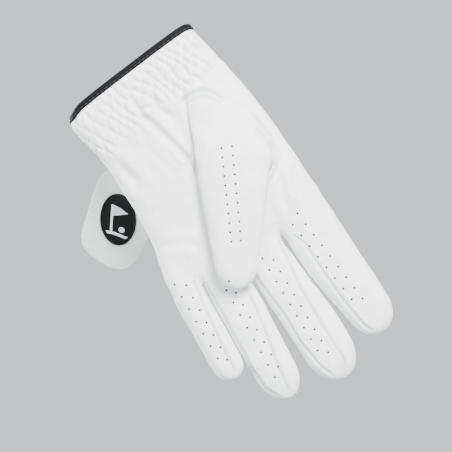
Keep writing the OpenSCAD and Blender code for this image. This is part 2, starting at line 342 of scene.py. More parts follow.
# the forks between the fingers are rounded
fork = np.zeros(len(G))
for a, b in zip(ORDER[:-1], ORDER[1:]):
    near = np.exp(-((G[:, 0] - between(a, b, G[:, 2])) / 4.5) ** 2)
    fork = np.maximum(fork, near * smooth(-110, -116, G[:, 2]) * smooth(-138, -128, G[:, 2]))
G = relax(G, E, 22, .5, fork * ~th)
set_coords(form, row(G))
ob = add_object("form", form)
ob.modifiers.new("s", "SUBSURF").levels = 1
skin = evaluated(ob)
bpy.data.objects.remove(ob)


# -------- folds, seams and gathers
P = glove(coords(skin))
X, Y, Z = P.T
N = normals(skin)
s_, u_ = thumb_local(P)
TH = is_thumb(P, .6)                       # the free tube and swell of the thumb
FR = smooth(.15, -.35, N[:, 1])            # how far a point faces the palm side
BK = smooth(-.15, .35, N[:, 1])
XZ = P[:, [0, 2]]
SU = np.stack([u_, s_], 1)
push = np.zeros(len(P))                    # mm along the normal
painted_groove_shade = np.zeros(len(P))                  # painted shade along seams and folds, 0 to 1


def groove(where, pts, depth, width, lip=0.0, pucker=0.0, pitch=3.4, plane=XZ, shade_amount=0.0):
    """A seam or fold along a polyline: a soft valley, a lip beside it, small puckers along it and painted
    shade in the valley.
    """
    global push, painted_groove_shade
    d, t, run = to_line(plane, pts)
    on = where * smooth(0, 6, t) * smooth(run, run - 6, t)
    push -= on * depth * np.exp(-(d / width) ** 2)
    if lip:
        push += on * lip * np.exp(-((d - 2.1 * width) / (1.1 * width)) ** 2)
    if pucker:
        wave = np.sin(2 * math.pi * t / pitch + 1.7 * np.sin(t / 5.1))
        push += on * pucker * wave * np.exp(-(d / (3.2 * width + 1.2)) ** 2)
    if shade_amount:
        painted_groove_shade = np.maximum(painted_groove_shade, on * shade_amount * np.exp(-(d / (.8 * width + .2)) ** 2))


FREE = TH * smooth(6, 15, s_)              # the same, fading in over the thumb's root
PALM = FR * (1 - FREE)
BACK = BK * (1 - FREE)
# rows of small round holes: first, last, how many
HOLES = {
    "thumb": [((20.6, -68.3), (-2.2, -114.9), 11), ((26.1, -70.5), (2.7, -117.2), 11)],
    "index": [((37.9, -121.4), (43.5, -181.3), 9), ((32.3, -125.4), (38.1, -178.6), 8)],
    "middle": [((12.5, -136.4), (11.1, -196.8), 9), ((7.7, -132.4), (6.6, -192.9), 9)],
    "ring": [((-19, -136.8), (-21.8, -192.8), 8), ((-14.8, -132.8), (-17.2, -188.8), 8)],
    "little": [((-42.1, -118.6), (-43.5, -166.8), 7), ((-36.8, -122.5), (-39.4, -170.2), 7)],
}
HOLES = {n: [(x0 + (x1 - x0) * i / (k - 1), z0 + (z1 - z0) * i / (k - 1))
             for (x0, z0), (x1, z1), k in rows for i in range(k)] for n, rows in HOLES.items()}
for n, pts in HOLES.items():
    on = FR if n == "thumb" else FR * ~TH
    for x, z in pts:
        push -= on * .4 * np.exp(-((X - x) ** 2 + (Z - z) ** 2) / 1.1)
# side seams of the fingers, palm side, with painted shade in their grooves
SEAMS = {
    ("index", -1): [(28, -128), (32.2, -137), (32.7, -155), (33.7, -176), (36.4, -195), (40, -202)],
    ("middle", 1): [(22.5, -126), (19.3, -143), (16.9, -158), (16.6, -173), (16.3, -189), (16.6, -205),
                    (14.5, -213)],
    ("middle", -1): [(-1.6, -124), (-.6, -143), (1.2, -163), (.8, -185), (3, -200), (7, -212)],
    ("ring", 1): [(-4.4, -124), (-8.9, -143), (-10.6, -157), (-14.2, -175), (-17.2, -189), (-18.6, -201),
                  (-19.5, -207)],
    ("ring", -1): [(-27.5, -122), (-28.2, -150), (-30.2, -180), (-29.6, -196), (-24, -207)],
    ("little", 1): [(-29.4, -119), (-31.8, -123), (-34.6, -141), (-37.4, -161), (-38.6, -174), (-40, -181)],
}
BACK_SEAM = .74                            # how far out they are on the back, as a part of the half width
for key, pts in SEAMS.items():
    fine = 1.0 if key != ("ring", -1) else .6
    groove(PALM, pts, .68 * fine, .8, .2, .05, 4.3, shade_amount=fine)
# the same seams on the back, nearer the sides, also with painted shade
for n, side in SEAMS:
    (cx, hw), z = finger(n), np.linspace(-119, FINGERS[n]["dome"] - 4, 12)
    groove(BACK, list(zip(cx(z) + side * BACK_SEAM * hw(z), z)), .5, .9, .2, .05, 4.1, shade_amount=.6)
# outer edge seam, where palm and back meet; painted shade darkens its groove
edge_seam = ~TH * (np.abs(Y) < 4) * smooth(.75, .95, np.abs(N[:, 0])) * smooth(-4, -9, Z)
edge_seam = edge_seam * ((X > 36) | (X < -35))
push -= edge_seam * .5 * np.exp(-((Y - .6) / .8) ** 2)
painted_groove_shade = np.maximum(painted_groove_shade, edge_seam * .6 * np.exp(-((Y - .6) / .7) ** 2))

# gathers under the wrist binding, palm side: staggered puffs between slanting valleys
GATHER_WIDE, GATHER_LONG, GATHER_DEEP = 6.1, 11.5, 2.3
z = Z - CUFF_SLOPE * X
low = -31 + 2 * smooth(-25, 42, X) + 3.5 * vnoise(P, 12, 27)
band = smooth(low - 8, low + 5, z) * smooth(-3.8, -8, z) * smooth(45.5, 38, np.abs(X - .8))
gx = X / GATHER_WIDE + .44 * vnoise(P, 13, 21) + .2 * vnoise(P, 5.5, 22)
gz = (z + .2 * X) / GATHER_LONG + .34 * vnoise(P, 16, 23) + .18 * vnoise(P, 6, 24)
puff = np.minimum(np.abs(np.sin(math.pi * (gx + gz))), np.abs(np.sin(math.pi * (gx - gz + .37))) + .12) ** .75
amount = PALM * band * np.clip(.82 + .6 * vnoise(P, 15, 25), .25, 1.3)
push += amount * GATHER_DEEP * (puff - .55)
# painted shade in the gathers' valleys
painted_groove_shade = np.maximum(painted_groove_shade, amount * .62 * smooth(.4, .05, puff))
# their tails running out into the palm
tail = smooth(-24, -38, z) * smooth(-76, -52, z) * smooth(34, 5, X) * smooth(-39, -29, X)
push += PALM * tail * .45 * np.cos(2 * math.pi * (X + .3 * Z) / 13.5 + 1.5 * vnoise(P, 24, 8))
# the little finger's edge puckers with them
edge_side = smooth(-.35, -.8, N[:, 0]) * smooth(-3, -9, z) * smooth(-44, -28, z)
push += edge_side * .3 * np.cos(2 * math.pi * z / 8.3 + .8 * vnoise(P, 9, 26))

# broad folds of the palm, towards the thumb: where, depth, width, lip, painted shade
for pts, depth, width, lip, shade_amount in (
        ([(-5, -15), (-7.2, -24), (-6.5, -31), (-2.8, -42), (-.2, -54), (2.5, -66)], 1.25, 1.7, .85, .3),
        ([(4.4, -17), (2.7, -25), (4.5, -34), (8, -41)], 1.0, 1.5, .6, .25),
        ([(-13, -33), (-13.5, -45), (-11, -58), (-8, -70)], .6, 2.6, .4, 0),
        ([(-33, -42), (-31, -55), (-33.5, -68)], .5, 2.2, .35, 0),
        ([(48, -20), (43, -27), (34, -30), (24, -31)], .75, 1.9, .5, 0),
        ([(48, -88), (41.5, -95), (36, -108), (33, -119)], 1.1, 2.2, .7, 0),
        ([(50, -98), (46, -107), (44, -118)], .5, 2.0, .35, 0),
        ([(-40, -96), (-26, -101), (-17, -110)], .4, 2.4, .3, 0)):
    groove(PALM, pts, depth, width, lip, shade_amount=shade_amount)
# finger creases at the bends
for n in ORDER:
    bend = FINGERS[n]["bend"]
    cx, hw = (float(f(bend)) for f in finger(n))
    for dz, d in ((4, .22), (0, .38), (-3.5, .25)):
        z, zb = bend + dz, bend + dz * 1.2
        groove(PALM, [(cx - .62 * hw, z + .8), (cx, z), (cx + .5 * hw, z + .6)], .35 * d, 1.1, .05)
        groove(BACK, [(cx - .66 * hw, zb), (cx, zb + 1), (cx + .66 * hw, zb)], d * 1.1, 1.0, .15)

# the thumb: arc fold over its root, the crease down its left side, the fold at the web, folds above the arc;
# painted shade darkens the first three
ROOT = FR * smooth(-82, -72, Z)
groove(ROOT, [(15.5, -37), (16.6, -34.6), (19.5, -33.4), (26, -33.5), (30.2, -35.8), (34.3, -40.8),
              (37.4, -48)], 2.3, .9, 1.1, shade_amount=.75)
groove(ROOT, [(20, -28), (18.2, -33), (13.6, -43), (8.4, -55), (3.6, -66), (-.6, -76)], 1.7, .95, shade_amount=.75)
groove(FR, [(42, -66), (45.2, -76), (44.7, -83.4), (41.2, -93.2), (34.5, -99.7)], 1.6, .95, .7, shade_amount=.55)
groove(ROOT, [(20, -42.5), (25.5, -40), (31, -42.5), (35.5, -48.5)], .6, 1.7, .4)
groove(ROOT, [(13, -30), (20, -27.4), (28, -27.6), (34, -30.5)], .5, 1.6, .4)
# its seams, front and side, darkened with painted shade, and the creases over its bend
TPALM = FR * FREE
groove(TPALM, [(17.2, 44), (18.8, 30), (21, 18), (24.5, 6), (27, -4)], .45, 1.2, .2, .04, 4.6, SU, .25)
side_seam = TH * smooth(16, 24, s_) * np.exp(-((Y - table(THUMB_Y)(s_) - THUMB_EDGE) / .75) ** 2)
push -= .5 * side_seam
painted_groove_shade = np.maximum(painted_groove_shade, .8 * side_seam)
groove(TPALM, [(13, 22), (3, 20.5), (-9, 21.5)], .22, 1.6, .12, plane=SU)
groove(TPALM, [(12, 27), (2, 25.5), (-8, 26.5)], .18, 1.4, .1, plane=SU)

# the back of the hand: gathers and a soft panel over the knuckles, pull lines from the slit; the two folds
# across the back and the pull lines are darkened with painted shade
knuckles = np.exp(-((Z + 103 + .1 * np.abs(X - 5)) / 7.5) ** 2) * smooth(46, 36, np.abs(X - 5))
push += BACK * knuckles * .4 * np.cos(2 * math.pi * X / 6.3 + .8 * np.sin(Z / 4))
for z in (-94, -112):
    groove(BACK, [(-38, z - 1), (-20, z + 1.5), (5, z + 2.5), (30, z + 1.5), (48, z - 1)], .5, 1.0, .22, .06,
           3.9, shade_amount=.5)
for x in (-26, -5.5, 18.5):
    groove(BACK, [(x * .92 + 1, -66), (x * .97, -92)], .4, 1.3, .2, .1, 3.4, shade_amount=.2)
groove(BACK, [(-23, -64), (-22, -74), (-19, -88)], .7, 1.8, .45)

# overall softness
push += (.55 * vnoise(P, 27, 11) + .26 * vnoise(P, 11, 12) + .1 * vnoise(P, 5, 13)) * (1 - .35 * FREE)
push += .16 * vnoise(P * np.array([1.6, 1, .5]), 4.6, 14) * PALM * smooth(-118, -126, Z)
P = P + N * push[:, None]
P = relax(P, edges_of(skin), 1, .35)
set_coords(skin, row(P))
# the painted shade goes onto the skin as its "seam" attribute
skin.attributes.new("seam", "FLOAT", "POINT").data.foreach_set("value", painted_groove_shade.astype(np.float32))

# the patch on the back sits on a flat place, 1 mm under its face
P = coords(skin) * 1000
X, Y, Z = P.T
flat = (Y > -6) * smooth(22, 17, np.abs(X)) * smooth(22, 17, np.abs(Z))
P[:, 1] = np.where(Y > -1.0, Y * (1 - flat) - flat, Y)
set_coords(skin, P / 1000)

# -------- the wrist opening and the slit
SLIT_L, SLIT_R, SLIT_END = [(-26.0, 0), (-22.1, -62)], [(-23.4, 0), (-20.2, -62)], -61.0
SLIT_FROM, SLIT_TO = -33, -14              # the x range around it


def line_x(line, z):
    (x0, z0), (x1, z1) = line
    return x0 + (x1 - x0) * (z - z0) / (z1 - z0)


def around_slit(f):
    c = f.calc_center_median() * 1000
    return c.y > MID + 3 and SLIT_FROM < c.x < SLIT_TO and c.z - CUFF > -66


def cut(bm, faces, at, normal, **more):
    """Cuts the given faces along a plane, stated in the glove frame."""
    geom = list(dict.fromkeys(q for f in faces for q in [*f.verts, *f.edges, f]))
    bmesh.ops.bisect_plane(bm, geom=geom, dist=1e-7, plane_co=Vector(row(at)),
                           plane_no=Vector(normal).normalized(), **more)


bm = bmesh.new()
bm.from_mesh(skin)
cut(bm, bm.faces[:], (0, 0, -1.2), (-CUFF_SLOPE, 0, 1), clear_outer=True)
for (x0, z0), (x1, z1) in (SLIT_L, SLIT_R):
    cut(bm, [f for f in bm.faces if around_slit(f)], (x0, 0, z0), (z1 - z0, 0, x0 - x1))
cut(bm, [f for f in bm.faces if around_slit(f)], (0, 0, SLIT_END), (0, 0, 1))
gone = []
for f in bm.faces:
    if around_slit(f):
        c = f.calc_center_median() * 1000
        z = c.z - CUFF
        if z > SLIT_END and line_x(SLIT_L, z) < c.x < line_x(SLIT_R, z):
            gone.append(f)
bmesh.ops.delete(bm, geom=gone, context="FACES")
bmesh.ops.delete(bm, geom=[v for v in bm.verts if not v.link_faces], context="VERTS")
# at the little-finger side the cuff's corner is round, and swells a little below it; both ends are lower
CORNER_IN = table([(-32, 0), (-23, -.9), (-15, -1.8), (-9, -1.0), (-4, 1.2), (0, 2.2)])
LITTLE_DROP, INDEX_DROP = 2.6, 1.2
for v in bm.verts:
    x, z = v.co.x * 1000, v.co.z * 1000 - CUFF
    drop = LITTLE_DROP * float(smooth(-34, -44, x)) + INDEX_DROP * float(smooth(38, 45, x))
    v.co.x += float(smooth(-26, -42, x)) * float(CORNER_IN(z)) * MM
    v.co.z -= drop * float(smooth(-18, 0, z)) * MM
# the bound edge, in order, with the way out of the leather and the leather's normal at each point
edges_at = {}
for e in bm.edges:
    if len(e.link_faces) == 1:
        for v in e.verts:
            edges_at.setdefault(v, []).append(e)
start = max(edges_at, key=lambda v: v.co.x)
loop, outs, ups, v, before = [], [], [], start, None
while True:
    e = [q for q in edges_at[v] if q is not before][0]
    w = e.other_vert(v)
    t = w.co - v.co
    if t.length > 1e-9:
        t.normalize()
        o = (v.co + w.co) / 2 - e.link_faces[0].calc_center_median()
        o -= o.dot(t) * t
        loop.append(list(v.co * 1000))
        outs.append(list(o.normalized()))
        ups.append(list(v.normal))
    v, before = w, e
    if v is start:
        break
bm.to_mesh(skin)
bm.free()
skin.update()


def lengths(A):
    return np.concatenate([[0], np.cumsum(np.linalg.norm(np.diff(A, axis=0), axis=1))])


def closed(A):
    return np.concatenate([A, A[:1]])


def even(points, step, *more, least=0):
    """Even steps along a closed line, and what goes with its points at the same places."""
    t = lengths(closed(points))
    q = np.linspace(0, t[-1], max(least, int(t[-1] / step)), endpoint=False)
    out = [np.stack([np.interp(q, t, c) for c in closed(a).T], 1) for a in (points, *more)]
    return out if more else out[0]


def roll_mean(a, w):
    return sum(np.roll(a, k, 0) for k in range(-w, w + 1)) / (2 * w + 1)


EDGE_STEP = .9
loop, outs, ups = even(np.array(loop), EDGE_STEP, np.array(outs), np.array(ups))
loop, outs, ups = roll_mean(loop, 1), roll_mean(outs, 2), roll_mean(ups, 3)
outs /= np.linalg.norm(outs, axis=1)[:, None]
ups -= (ups * outs).sum(1)[:, None] * outs
ups /= np.linalg.norm(ups, axis=1)[:, None]

# -------- pieces of the skin
V = coords(skin)
NV = normals(skin)
# the "seam" attribute holds painted shade along seams and folds
GROOVE_SHADE = values(skin.attributes["seam"].data, "value", 1, np.float32)[:, 0]
FV = [list(p.vertices) for p in skin.polygons]
C = glove(np.array([V[f].mean(0) for f in FV]))
X, Y, Z = C.T
along = thumb_local(C)[0]
thumb_face = is_thumb(C, .6)
label = np.where(Y < .5, "palm_leather", "back_leather").astype(object)
label[thumb_face & (along <= 10)] = "thumb_swell_leather"
in_front = Y < table(THUMB_Y)(along) + THUMB_EDGE
label[thumb_face & (along > 10) & in_front] = "thumb_front_leather"
label[thumb_face & (along > 10) & ~in_front] = "thumb_back_leather"
which = np.zeros(len(C), int)
for i, (a, b) in enumerate(zip(ORDER[:-1], ORDER[1:])):
    which[X > between(a, b, Z)] = i + 1
for i, n in enumerate(ORDER):
    cx, hw = (f(Z) for f in finger(n))
    part = np.where(Y < 0, "front", "back").astype(object)
    for (other, side), seam in SEAMS.items():
        if other == n:
            seam_x = table([(z, x) for x, z in seam])(Z)
            part[(Y < 0) & ((X - seam_x) * side > 0)] = "side"
            part[(Y >= 0) & ((X - cx) * side > BACK_SEAM * hw)] = "side"
    for k in ("front", "back", "side"):
        label[(Z < FINGERS_FROM) & (which == i) & ~thumb_face & (part == k)] = f"{n}_{k}_leather"


def collect(name, V, F, N=None, seam=None):
    me = mesh_of(name, V, F)
    me.polygons.foreach_set("use_smooth", [True] * len(me.polygons))
    # seam: painted shade along seams and folds, kept as a point attribute
    if seam is not None:
        me.attributes.new("seam", "FLOAT", "POINT").data.foreach_set("value", np.asarray(seam, np.float32))
    if N is not None:
        me.normals_split_custom_set_from_vertices([tuple(n) for n in N])
    return add_object(name, me)


def renumber(F):
    """The vertices that some faces use, and the faces with those vertices' new numbers."""
    used = sorted({v for f in F for v in f})
    k = {v: i for i, v in enumerate(used)}
    return used, [[k[v] for v in f] for f in F]


def subset(name, faces, P=V, way=1):
    """Some of the skin's faces as a piece; way is -1 to turn it inside out."""
    used, F = renumber([FV[f][::way] for f in faces])
    return collect(name, P[used], F, NV[used] * way, GROOVE_SHADE[used])


pieces = {n: subset(n, np.nonzero(label == n)[0]) for n in sorted(set(label))}
LINING_GAP = .0011
inside = np.nonzero((Z > -110) & ~(thumb_face & (along > 10)))[0]
lining = subset("inner_face", inside, V - NV * LINING_GAP, -1)
tree = BVHTree.FromPolygons([tuple(v) for v in V], FV)


# -------- small shared makers
def solid(name, parts):
    """One object from (vertices in mm in the row frame, faces) pairs."""
    V_, F_ = join_parts([(np.asarray(v, float), [list(f) for f in g]) for v, g in parts])
    return collect(name, V_ * MM, F_)


def stitch(a, b, up, radius=.24, proud=.5):
    """One thread stitch from a to b: a spindle that dives into the surface at both ends."""
    a, b, up = (np.asarray(v, float) for v in (a, b, up))
    d = b - a
    L = np.linalg.norm(d)
    d = d / L
    w = np.cross(d, up)
    w /= np.linalg.norm(w)
    up = np.cross(w, d)
    rings = []
    for t, r, h in ((-.06, .25, -.9), (.1, .75, -.1), (.32, 1, proud), (.68, 1, proud), (.9, .75, -.1),
                    (1.06, .25, -.9)):
        c = a + d * L * t + up * h * radius
        rings.append([c + radius * r * (math.cos(q) * w + math.sin(q) * up) for q in turn(6)])
    return loft(rings)


def stitch_row(points, up, pitch, length, radius, ring=True):
    """Stitches along a line in mm, closed or open."""
    A = np.asarray(points, float)
    U = np.broadcast_to(np.asarray(up, float), A.shape)
    if ring:
        A, U = closed(A), closed(U)
    t = lengths(A)
    n = max(1, int(round(t[-1] / pitch)))
    step = t[-1] / n

    def at(q, S=A):
        return np.array([np.interp(q, t, c) for c in S.T])
    return [stitch(at((i + .1) * step), at((i + .1 + length / pitch) * step), at((i + .5) * step, U), radius)
            for i in range(n)]


def spline(points, step):
    """Even points on a smooth closed curve through the given 2-D points."""
    A = np.asarray(points, float)
    n = len(A)
    out = []
    for i in range(n):
        a, b, c, d = A[i - 1], A[i], A[(i + 1) % n], A[(i + 2) % n]
        for t in np.linspace(0, 1, 16, endpoint=False):
            out.append(.5 * (2 * b + (c - a) * t + (2 * a - 5 * b + 4 * c - d) * t * t
                             + (3 * b - a - 3 * c + d) * t ** 3))
    return even(np.array(out), step)


def inset(outline, d):
    """The outline moved inwards by d (the outline runs counter-clockwise)."""
    T = np.roll(outline, -1, 0) - np.roll(outline, 1, 0)
    T /= np.linalg.norm(T, axis=1)[:, None]
    return outline + d * np.stack([-T[:, 1], T[:, 0]], 1)


def rounded_rect(w, h, r, step=.8):
    pts = []
    for a0, sx, sy in ((0, 1, 1), (90, -1, 1), (180, -1, -1), (270, 1, -1)):
        for a in np.radians(np.linspace(a0, a0 + 90, 8)):
            pts.append((sx * (w / 2 - r) + r * math.cos(a), sy * (h / 2 - r) + r * math.sin(a)))
    return even(np.array(pts), step)


def ccw(A):
    x, y = A[:, 0], A[:, 1]
    return A if (x * np.roll(y, -1) - np.roll(x, -1) * y).sum() > 0 else A[::-1]


def fill(ring, grid):
    """Triangles inside a closed ring, with a grid of points so that the surface can bend."""
    inner = inset(ring, grid * .7)
    lo, hi = ring.min(0), ring.max(0)
    xs, ys = np.meshgrid(np.arange(lo[0], hi[0], grid), np.arange(lo[1], hi[1], grid))
    x, y = xs.ravel(), ys.ravel()
    keep = np.zeros(len(x), bool)
    for (x0, y0), (x1, y1) in zip(inner, np.roll(inner, -1, 0)):
        with np.errstate(divide="ignore", invalid="ignore"):
            keep ^= ((y0 > y) != (y1 > y)) & (x < (x1 - x0) * (y - y0) / (y1 - y0) + x0)
    P2 = np.concatenate([ring, np.stack([x, y], 1)[keep]])
    n = len(ring)
    r = delaunay_2d_cdt([Vector(p) for p in P2], [(i, (i + 1) % n) for i in range(n)], [], 1, 1e-7)
    return np.array([list(v) for v in r[0]]), [list(f) for f in r[2]]


def plate(outline, z0, z1, place, grid=1.8, edge=4):
    """A flat piece with a rounded edge; place(q, p, z) puts its points in the row frame."""
    ring = ccw(outline)
    r, mid = (z1 - z0) / 2, (z0 + z1) / 2
    angles = np.linspace(-math.pi / 2, math.pi / 2, 2 * edge + 1)
    loops = [(inset(ring, r * (1 - math.cos(a))), mid + r * math.sin(a)) for a in angles]
    flat2, tris = fill(loops[0][0], grid)
    n, m = len(ring), len(flat2)
    rows_ = [np.column_stack([flat2, np.full(m, z0)])]
    rows_ += [np.column_stack([l, np.full(n, h)]) for l, h in loops[1:-1]]
    rows_.append(np.column_stack([flat2, np.full(m, z1)]))
    starts = [0] + [m + i * n for i in range(len(loops) - 2)] + [m + (len(loops) - 2) * n]
    F_ = [t[::-1] for t in tris] + [[k + starts[-1] for k in t] for t in tris]
    for a, b in zip(starts[:-1], starts[1:]):
        F_ += ring_pairs(n, a, b)
    return place(*np.concatenate(rows_).T), F_


# -------- holes in the leather: dark discs on the skin, painted shade for the holes' dark insides
HOLE_RADIUS, HOLE_SIDES, HOLE_PROUD = .7, 10, .05


def on_palm(x, z):
    """The skin as seen from the palm side, at a place in the glove frame: a point just proud of it, in mm."""
    p, n, _, _ = tree.ray_cast(Vector(row([x, -60, z])), Vector((0, 1, 0)))
    return np.array(p) * 1000 + np.array(n) * HOLE_PROUD


def hole(x, z):
    disc = [on_palm(x + k * HOLE_RADIUS * math.cos(a), z + k * HOLE_RADIUS * math.sin(a))
            for k in (1.0, .62, .25) for a in turn(HOLE_SIDES)]
    middle = range(len(disc) - 1, len(disc) - 1 - HOLE_SIDES, -1)
    return np.array(disc), [f[::-1] for f in tube_ring_faces(3, HOLE_SIDES)] + [list(middle)]


perforations = {n: solid(f"{n}_perforations", [hole(x, z) for x, z in pts]) for n, pts in HOLES.items()}

# -------- bindings
BIND_OUT, BIND_IN = 3.15, 3.0                    # how far the tape reaches over the leather and under it
BIND_T = .85
BIND_OVER, BIND_UNDER = .05, -1.3                # its inner faces above and below the leather
steps = np.arange(len(loop))
waver = .28 * np.sin(steps * EDGE_STEP / 2.9 * 2 * math.pi + 2 * np.sin(steps / 23))


def binding_profile():
    """Outline of the folded tape: (out past the edge, above the leather)."""
    top, low = BIND_OVER + BIND_T, BIND_UNDER - BIND_T
    pts = [(-BIND_OUT, BIND_OVER), (-BIND_OUT - .18, BIND_OVER + .35), (-BIND_OUT, BIND_OVER + BIND_T * .85),
           (-BIND_OUT + .5, top), (-2.2, top + .12), (-.9, top + .05)]
    pts += [(-.25 + .9 * math.cos(a), (top + low) / 2 + (top - BIND_UNDER + BIND_T) / 2 * math.sin(a))
            for a in np.radians(np.linspace(80, -80, 9))]
    return pts + [(-.9, low), (-BIND_IN + .5, low), (-BIND_IN, BIND_UNDER - BIND_T * .6),
                  (-BIND_IN, BIND_UNDER + .05)]


prof = np.array(binding_profile())
n_loop, n_prof = len(loop), len(prof)
past, above = prof.T
past = past + np.where(above < 0, 0, .12) * waver[:, None]
above = above + np.where(above > .3, .25, 0) * waver[:, None]
BV = (loop[:, None] + outs[:, None] * past[..., None] + ups[:, None] * above[..., None]).reshape(-1, 3)
x, y, z = loop.T
on_slit = (y > MID + 3) & (x > SLIT_FROM) & (x < SLIT_TO) & (z - CUFF < -5.5)
run_along = np.repeat(np.arange(n_loop) * EDGE_STEP, n_prof)
run_across = np.tile(lengths(prof), n_loop)


def tape(name, mask):
    used, F_ = renumber([f for i in np.nonzero(mask)[0]
                         for f in ring_pairs(n_prof, int(i) * n_prof, (int(i) + 1) % n_loop * n_prof)])
    ob = collect(name, BV[used] * MM, F_)
    W = np.column_stack([run_along[used], run_across[used], np.zeros(len(used))]).astype(np.float32)
    ob.data.attributes.new("weave", "FLOAT_VECTOR", "POINT").data.foreach_set("vector", W.ravel())
    return ob


cuff_tape = tape("cuff_tape", ~on_slit)
slit_tape = tape("slit_tape", on_slit)
seat = loop - outs * (BIND_OUT - .75) + ups * (BIND_T + .1)
binding_thread = solid("binding_thread", stitch_row(seat, ups, 2.9, 2.1, .2))


# -------- inside the wrist
def strip(name, node, y_of, nx, nz, thick):
    """A thin cloth over a CAD piece's width and height, following the inner face of the palm or the back."""
    lo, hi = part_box(node)
    xs, zs = np.linspace(lo.x, hi.x, nx) * 1000, np.linspace(lo.z, hi.z, nz) * 1000
    V_, n = [(x, y_of(x, z) + side * thick, z) for side in (0, 1) for z in zs for x in xs], nx * nz
    F_ = []
    for j in range(nz - 1):
        for i in range(nx - 1):
            q = [j * nx + i, j * nx + i + 1, (j + 1) * nx + i + 1, (j + 1) * nx + i]
            F_ += [q, [v + n for v in q[::-1]]]
    rim = [*range(nx), *(j * nx + nx - 1 for j in range(1, nz)), *range(n - 2, n - nx - 1, -1),
           *(j * nx for j in range(nz - 2, 0, -1))]
    F_ += [[b, a, a + n, b + n] for a, b in zip(rim, rim[1:] + rim[:1])]
    return solid(name, [(V_, F_)])


def leather_at(x, z, way, else_y):
    """The leather's y in mm, seen from inside the glove towards the palm (way -1) or the back (1)."""
    p = tree.ray_cast(Vector((x / 1000, MID / 1000, z / 1000)), Vector((0, way, 0)))[0]
    return p.y * 1000 if p else else_y


def palm_inside(x, z):
    rib = .22 * math.sin(x * 2 * math.pi / 4.1) * (1 if abs(z - 18) < 14 else .3)
    return leather_at(x, z, -1, MID - 9.2) + 1.2 + rib


def back_inside(x, z):
    return leather_at(x, z, 1, -1.5) - 1.75 + .1 * math.sin(z / 3.1)


elastic_band = strip("elastic_band", "wrist_elastic", palm_inside, 120, 26, .7)
label_cloth = strip("label_cloth", "size_label", back_inside, 36, 36, .35)
lo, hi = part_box("size_label")
z_seam = hi.z * 1000 - 1.6
label_x = np.linspace(lo.x * 1000 + .8, hi.x * 1000 - .8, 9)
label_line = [(x, back_inside(x, z_seam) - .05, z_seam) for x in label_x]
label_thread = solid("label_thread", stitch_row(label_line, (0, -1, 0), 2.4, 1.7, .16, False))

# -------- the loop patch on the back
plo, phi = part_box("loop_patch")
PW, PH = (phi.x - plo.x) * 1000, (phi.z - plo.z) * 1000


def on_back(q, p_, z):
    return np.column_stack([q, z, -np.asarray(p_)])


PAD_CORNER = 4                             # mm, of the loop patch and the hook pad
BOX_STITCH = (2.3, 1.75, .2)               # pitch, length and thread radius of the stitches that hold pads
THREAD_STEPS = 7                           # rings along one hook or loop of thread
patch_edge = rounded_rect(PW, PH, PAD_CORNER)
patch_base = solid("patch_base", [plate(patch_edge, plo.y * 1000 - .25, -.38, on_back, 2.2)])


def scatter(w, h, pitch, seed):
    """Places for hooks or loops: a grid with a little unevenness, inside a rounded rectangle."""
    pts = []
    nx, ny = int(w / pitch), int(h / pitch)
    for j in range(ny):
        for i in range(nx):
            a = np.array([[i * 3.1 + seed, j * 2.3, seed * 1.7]])
            x = (i - (nx - 1) / 2 + .28 * float(vnoise(a, 1.9, seed)[0]) + .25 * (j % 2)) * pitch
            y = (j - (ny - 1) / 2 + .28 * float(vnoise(a + 9, 1.9, seed)[0])) * pitch
            if math.hypot(max(abs(x) - (w / 2 - PAD_CORNER), 0), max(abs(y) - (h / 2 - PAD_CORNER), 0)) < 3.6:
                pts.append((x, y, float(vnoise(a + 5, 1.3, seed + 1)[0])))
    return pts


def arc_thread(x, y, angle, r, h, sides, sweep, place):
    """A little loop or hook of thread standing on a pad."""
    V_, thick = [], .13
    c, s = math.cos(angle), math.sin(angle)
    for t in np.linspace(0, sweep, THREAD_STEPS):
        a, b, ta, tb = -r * math.cos(t), h * math.sin(t), r * math.sin(t), h * math.cos(t)
        L = math.hypot(ta, tb) or 1
        for q in turn(sides):
            o, w = thick * math.cos(q), thick * math.sin(q)
            along = a + o * tb / L
            V_.append((x + along * c - w * s, y + along * s + w * c, b - o * ta / L))
    return place(*np.array(V_).T), tube_ring_faces(THREAD_STEPS, sides, True)


def level(outline, h):
    """An outline's two coordinates and a height, for the functions that place points."""
    return outline[:, 0], outline[:, 1], np.full(len(outline), h)


patch_pile = solid("patch_pile", [
    arc_thread(x, y, 3 * k + (i % 5), .55, .42 + .1 * k, 3, math.pi, lambda q, p, z: on_back(q, p, z - .42))
    for i, (x, y, k) in enumerate(scatter(PW - 2.2, PH - 2.2, 1.02, 3))])
patch_line = on_back(*level(inset(ccw(patch_edge), 1.1), -.36))
patch_thread = solid("patch_thread", stitch_row(patch_line, (0, 1, 0), *BOX_STITCH))

# -------- the closure tab
TAB = 1000 * np.array(next(j for j in frame["joints"] if j["name"] == "tab_hinge")["pos_m"])
TILT, TLEAN = math.radians(30), math.radians(23)         # out of the back's plane, and down from level
TQ = np.array([-math.cos(TILT) * math.cos(TLEAN), math.sin(TILT), -math.cos(TILT) * math.sin(TLEAN)])
TP = np.array([-math.sin(TLEAN), 0, math.cos(TLEAN)])
TN = np.cross(TQ, TP)
TE = np.array([math.cos(TLEAN), 0, math.sin(TLEAN)])      # on the back, from the bending line to the slit
HN = np.cross(-TE, TP)
TAB_BEND = 2.2                                            # half the length over which it bends


def curl(q, p):
    """The tab isn't flat: its free end dips and its lower corner lifts."""
    dip = 1.9 * smooth(18, 62, q) - 1.3 * ((p + 6) / 20) ** 2 * smooth(8, 45, q)
    return dip + .25 * np.sin(q / 8 + p / 11)


